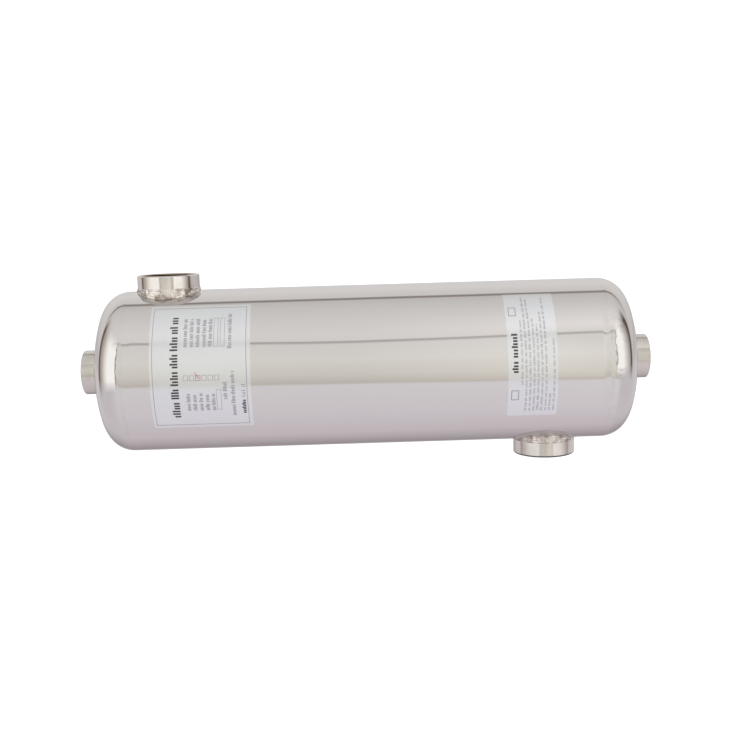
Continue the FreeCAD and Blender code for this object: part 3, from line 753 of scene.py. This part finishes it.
# Upright softboxes and the dark gaps beyond them, as (degrees to the right of the front,
# colour, how far it hides the panels).
UPRIGHTS = [
    (-180, "#C5C2BF", 0), (-150, "#C5C2BF", 0), (-110, "#CFCBC7", 0.6), (-106, "#665D58", 1),
    (-100, "#665D58", 1), (-96, "#A0978F", 1), (-84, "#BDB6AF", 1), (-71, "#E6E2DC", 1),
    (-58, "#FFFEFA", 1), (-25, "#FFFEFA", 1), (-24, "#8A847E", 1), (-22.5, "#8A847E", 1),
    (-22, "#8A847E", 0), (11, "#A6A29C", 0), (21, "#A6A29C", 0.5), (23, "#A6A099", 1),
    (25, "#A6A099", 1), (27, "#FFFEFA", 1), (56, "#FFFEFA", 1), (70, "#D8D2CE", 1),
    (84, "#A09794", 1), (89, "#5A514E", 1), (94, "#5A514E", 1), (98, "#C3BDB9", 1),
    (112, "#C8C4C0", 0.5), (150, "#C5C2BF", 0), (180, "#C5C2BF", 0),
]


def as_share(degrees):
    """A place round a full turn, from -180 to 180 degrees, as a share from 0 to 1."""
    return (degrees + 180) / 360


def warped_rise(tree, side, forward, rise):
    """The angle above the level at which a ray meets the panels, whose edges are not level."""
    # The front panel's lower edge slopes down to the right.
    low_down = add_node(tree, "ShaderNodeMapRange", {"Value": rise, "From Min": math.radians(-10),
                        "From Max": math.radians(30), "To Min": math.radians(19), "To Max": 0})
    ahead = add_node(tree, "ShaderNodeMapRange", {"Value": forward, "From Min": -0.3,
                     "From Max": 0.3, "To Min": 0, "To Max": 1})
    tilt = add_node(tree, "ShaderNodeMath", {0: low_down.outputs["Result"],
                    1: ahead.outputs["Result"]}, operation="MULTIPLY")
    slope = add_node(tree, "ShaderNodeMath", {0: side, 1: tilt.outputs[0], 2: rise},
                     operation="MULTIPLY_ADD")
    # Its upper edge bows up towards both ends, and more so to the left.
    aside = add_node(tree, "ShaderNodeMapRange", {"Value": side, "From Min": -0.25,
                     "From Max": 0.25})
    bow = add_node(tree, "ShaderNodeValToRGB", {"Fac": aside.outputs["Result"]})
    set_stops(bow, [(place, [share, share, share, 1]) for place, share in PANEL_BOW])
    high_up = add_node(tree, "ShaderNodeMapRange", {"Value": rise, "From Min": math.radians(12),
                       "From Max": math.radians(36), "To Min": 0, "To Max": math.radians(-8)})
    not_over = add_node(tree, "ShaderNodeMapRange", {"Value": rise, "From Min": math.radians(52),
                        "From Max": math.radians(85), "To Min": 1, "To Max": 0})
    lift = add_node(tree, "ShaderNodeMath", {0: high_up.outputs["Result"],
                    1: not_over.outputs["Result"]}, operation="MULTIPLY")
    warped = add_node(tree, "ShaderNodeMath", {0: bow.outputs["Color"], 1: lift.outputs[0],
                      2: slope.outputs[0]}, operation="MULTIPLY_ADD")
    return warped.outputs[0]


def panel_light(tree, side, forward, up):
    """Light of the long panels, as a ray meets it."""
    rise = add_node(tree, "ShaderNodeMath", {0: up, 1: forward}, operation="ARCTAN2").outputs[0]
    turn = add_node(tree, "ShaderNodeMapRange",
                    {"Value": warped_rise(tree, side, forward, rise), "From Min": -math.pi,
                     "From Max": math.pi})
    dome = add_node(tree, "ShaderNodeValToRGB", {"Fac": turn.outputs["Result"]})
    set_stops(dome, [(as_share(degrees), linear(colour)) for degrees, colour in PANELS])
    # The panels in front are nearer to the right end, and so brighter there.
    nearer = add_node(tree, "ShaderNodeMapRange", {"Value": side, "From Min": 0,
                      "From Max": 0.25, "To Min": 0, "To Max": 0.18})
    in_front = add_node(tree, "ShaderNodeMapRange", {"Value": forward, "From Min": -0.1,
                        "From Max": 0.5})
    above = add_node(tree, "ShaderNodeMapRange", {"Value": rise, "From Min": math.radians(-24),
                     "From Max": math.radians(-18), "To Min": 0.2, "To Max": 1})
    upon = add_node(tree, "ShaderNodeMath", {0: in_front.outputs["Result"],
                    1: above.outputs["Result"]}, operation="MULTIPLY")
    gain = add_node(tree, "ShaderNodeMath", {0: nearer.outputs["Result"], 1: upon.outputs[0], 2: 1},
                    operation="MULTIPLY_ADD")
    lit = add_node(tree, "ShaderNodeVectorMath", {0: dome.outputs["Color"],
                   "Scale": gain.outputs[0]}, operation="SCALE")
    # At either side, low down, the floor runs on and is lit as well as it is in front.
    across = add_node(tree, "ShaderNodeMath", {0: side}, operation="ABSOLUTE")
    beside = add_node(tree, "ShaderNodeMapRange", {"Value": across.outputs[0], "From Min": 0.35,
                      "From Max": 0.8}, interpolation_type="SMOOTHSTEP")
    under = add_node(tree, "ShaderNodeMapRange", {"Value": up, "From Min": 0.05,
                     "From Max": -0.12, "To Min": 0, "To Max": 1})
    floor_share = add_node(tree, "ShaderNodeMath", {0: beside.outputs["Result"],
                           1: under.outputs["Result"]}, operation="MULTIPLY")
    floored = add_node(tree, "ShaderNodeMix", {"Factor": floor_share.outputs[0], 6: lit.outputs[0],
                       7: linear("#C8C3C7")}, data_type="RGBA")
    return floored.outputs[2]


def upright_light(tree, side, forward, up):
    """Light of the uprights, as a ray meets it, and how far they hide what is behind."""
    azimuth = add_node(tree, "ShaderNodeMath", {0: side, 1: forward}, operation="ARCTAN2")
    turn = add_node(tree, "ShaderNodeMapRange", {"Value": azimuth.outputs[0],
                    "From Min": -math.pi, "From Max": math.pi})
    sides = add_node(tree, "ShaderNodeValToRGB", {"Fac": turn.outputs["Result"]})
    set_stops(sides, [(as_share(degrees), linear(colour)[:3] + [cover])
                      for degrees, colour, cover in UPRIGHTS])
    # They reach from under the level to well above it, with soft ends.
    low_end = add_node(tree, "ShaderNodeMapRange", {"Value": up, "From Min": -0.32,
                       "From Max": -0.1})
    high_end = add_node(tree, "ShaderNodeMapRange", {"Value": up, "From Min": 0.56,
                        "From Max": 0.8, "To Min": 1, "To Max": 0})
    reach = add_node(tree, "ShaderNodeMath", {0: low_end.outputs["Result"],
                     1: high_end.outputs["Result"]}, operation="MULTIPLY")
    cover = add_node(tree, "ShaderNodeMath", {0: reach.outputs[0], 1: sides.outputs["Alpha"]},
                     operation="MULTIPLY")
    return sides.outputs["Color"], cover.outputs[0]


def make_world():
    """Light dome. Seen over the shell's length it is a set of long panels, and at either
    side, low down, stand an upright softbox and the dark gap beyond it."""
    world = bpy.data.worlds.new("studio dome")
    bpy.context.scene.world = world
    world.use_nodes = True
    tree = world.node_tree
    ray = add_node(tree, "ShaderNodeTexCoord").outputs["Generated"]
    split = add_node(tree, "ShaderNodeSeparateXYZ", {"Vector": ray})
    forward = add_node(tree, "ShaderNodeMath", {0: split.outputs["Y"], 1: -1}, operation="MULTIPLY")
    course = (split.outputs["X"], forward.outputs[0], split.outputs["Z"])
    panels = panel_light(tree, *course)
    uprights, cover = upright_light(tree, *course)
    light = add_node(tree, "ShaderNodeMix", {"Factor": cover, 6: panels, 7: uprights},
                     data_type="RGBA")
    studio = tree.nodes["Background"]
    studio.inputs["Strength"].default_value = 1.62
    tree.links.new(light.outputs[2], studio.inputs["Color"])
    # What is seen past the object is a plain white sweep.
    sweep = add_node(tree, "ShaderNodeBackground", {"Color": linear("#FFFFFF"), "Strength": 1})
    seen = add_node(tree, "ShaderNodeLightPath").outputs["Is Camera Ray"]
    both = add_node(tree, "ShaderNodeMixShader", {0: seen, 1: studio.outputs[0], 2: sweep.outputs[0]})
    tree.links.new(both.outputs[0], tree.nodes["World Output"].inputs["Surface"])


def make_floor():
    """Plain pale floor, below what the exchanger's pipes would hold it over."""
    bpy.ops.object.select_all(action="DESELECT")
    bpy.ops.mesh.primitive_circle_add(vertices=64, radius=30, fill_type="TRIFAN",
                                      location=(SHELL_MIDDLE, 0, FLOOR_LEVEL))
    floor = bpy.context.object
    floor.name = "floor"
    floor.visible_glossy = False
    floor.data.materials.append(matt_floor())


def make_overhead():
    """Large soft light overhead that brings the floor up to white."""
    data = bpy.data.lights.new("overhead", "SUN")
    data.energy = 0.9
    data.angle = math.radians(60)
    overhead = bpy.data.objects.new("overhead", data)
    overhead.visible_glossy = False
    bpy.context.scene.collection.objects.link(overhead)


def make_camera():
    """Camera in front, a little above the shell and looking down on it, and not quite level."""
    data = bpy.data.cameras.new("camera")
    data.lens = 52.73
    camera = bpy.data.objects.new("camera", data)
    bpy.context.scene.collection.objects.link(camera)
    place = Vector((SHELL_MIDDLE - 8.5 * MM, -937.4 * MM, AXIS_Z + 130.5 * MM))
    swing, look_down, roll = -0.008, 0.1393, -0.0293
    turn = (Matrix.Rotation(swing, 4, "Z") @ Matrix.Rotation(math.pi / 2 - look_down, 4, "X")
            @ Matrix.Rotation(roll, 4, "Z"))
    camera.matrix_world = Matrix.Translation(place) @ turn
    bpy.context.scene.camera = camera


make_world()
make_floor()
make_overhead()
make_camera()
bpy.context.scene.view_settings.view_transform = "Standard"
